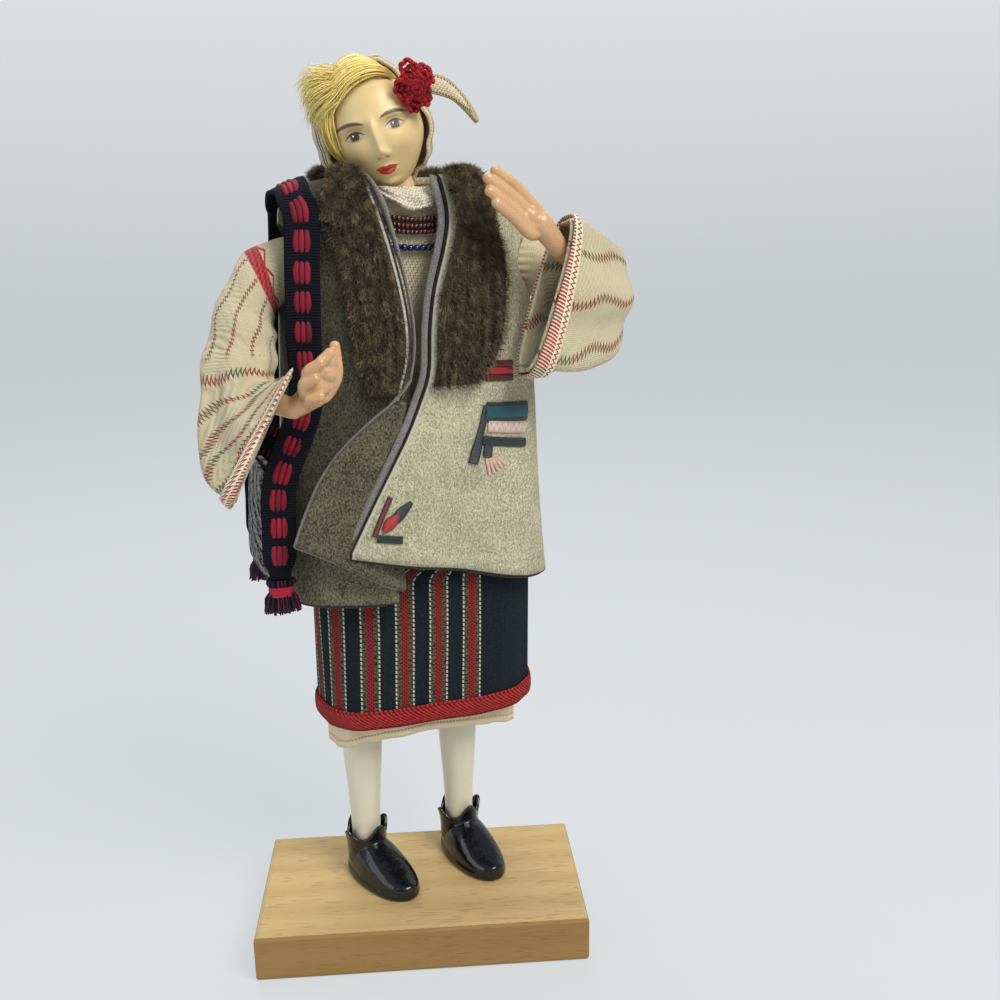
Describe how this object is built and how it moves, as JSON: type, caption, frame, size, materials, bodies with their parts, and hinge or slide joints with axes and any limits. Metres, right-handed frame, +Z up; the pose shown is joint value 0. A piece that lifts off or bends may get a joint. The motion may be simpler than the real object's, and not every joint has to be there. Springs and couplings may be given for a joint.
{
  "type": "folk costume doll",
  "caption": "Standing folk costume doll on a wooden base, in a striped wrap skirt, fur-trimmed vest and wide embroidered sleeves, with a shoulder bag, bead strings and a headscarf.",
  "frame": {"origin": "centre of the underside of the wooden base", "axes": "+Z up, -Y along the front of the base, +X to the left hand of the doll; the figure is turned 16 degrees on the base"},
  "size_m": [0.0958, 0.0601, 0.2144],
  "materials": {
    "beech_wood": "planed and waxed beech, eased edges",
    "screw_steel": "plain zinc",
    "leg_plastic": "cream moulding, satin",
    "shoe_plastic": "glossy black moulding",
    "body_plastic": "satin moulding",
    "skin_plastic": "painted, glossy",
    "face_plastic": "painted face, satin",
    "hair_fibre": "brushed blond fibre",
    "cream_linen": "plain linen weave",
    "petticoat_cotton": "cotton with a stitched hem",
    "striped_wool": "dark weave with groups of woven stripes",
    "red_twill": "twill band",
    "belt_wool": "woven band",
    "vest_suede": "suede with embroidered figures",
    "brown_fur": "short pile fur",
    "edge_cord": "twisted cord",
    "red_glass": "small dark red beads",
    "blue_glass": "small blue beads",
    "flower_thread": "coiled thread",
    "cuff_thread": "sewn edge in red, white and green",
    "bag_weave": "black and white weave",
    "strap_weave": "dark band with crimson floats",
    "tassel_thread": "dark and crimson threads"
  },
  "bodies": {
    "figure": {"bag": "bag_weave", "bag_strap": "strap_weave", "base_block": "beech_wood", "belt": "belt_wool", "blue_beads": "blue_glass", "body": "body_plastic", "foot_screw_left": "screw_steel", "foot_screw_right": "screw_steel", "front_cord_left": "edge_cord", "front_cord_right": "edge_cord", "fur_collar": "brown_fur", "fur_trim_left": "brown_fur", "fur_trim_right": "brown_fur", "hem_cord": "edge_cord", "leg_left": "leg_plastic", "leg_right": "leg_plastic", "neck_scarf": "cream_linen", "petticoat": "petticoat_cotton", "red_beads_lower": "red_glass", "red_beads_middle": "red_glass", "red_beads_top": "red_glass", "shift_bodice": "cream_linen", "shoe_left": "shoe_plastic", "shoe_right": "shoe_plastic", "skirt_hem_band": "red_twill", "tassel_back": "tassel_thread", "tassel_front": "tassel_thread", "vest_back": "vest_suede", "vest_front_left": "vest_suede", "vest_front_right": "vest_suede", "wrap_skirt": "striped_wool"},
    "head_group": {"head": "face_plastic", "hair": "hair_fibre", "headscarf": "cream_linen", "scarf_tail": "cream_linen", "flower": "flower_thread"},
    "right_arm": {"arm_right": "skin_plastic", "sleeve_right": "cream_linen", "cuff_right": "cuff_thread"},
    "left_arm": {"arm_left": "skin_plastic", "sleeve_left": "cream_linen", "cuff_left": "cuff_thread"}
  },
  "joints": [
    {"name": "head_turn", "type": "hinge", "parent": "figure", "child": "head_group", "pos_m": [-0.00012, 0.00412, 0.1842], "axis": [-0.2729, -0.1392, 0.9519], "range_deg": [-20, 20]},
    {"name": "right_shoulder", "type": "hinge", "parent": "figure", "child": "right_arm", "pos_m": [-0.01726, 0.00076, 0.1695], "axis": [-0.9613, -0.2756, 0], "range_deg": [0, 12]},
    {"name": "left_shoulder", "type": "hinge", "parent": "figure", "child": "left_arm", "pos_m": [0.01926, 0.01124, 0.1695], "axis": [-0.9613, -0.2756, 0], "range_deg": [-5, 12]}
  ]
}
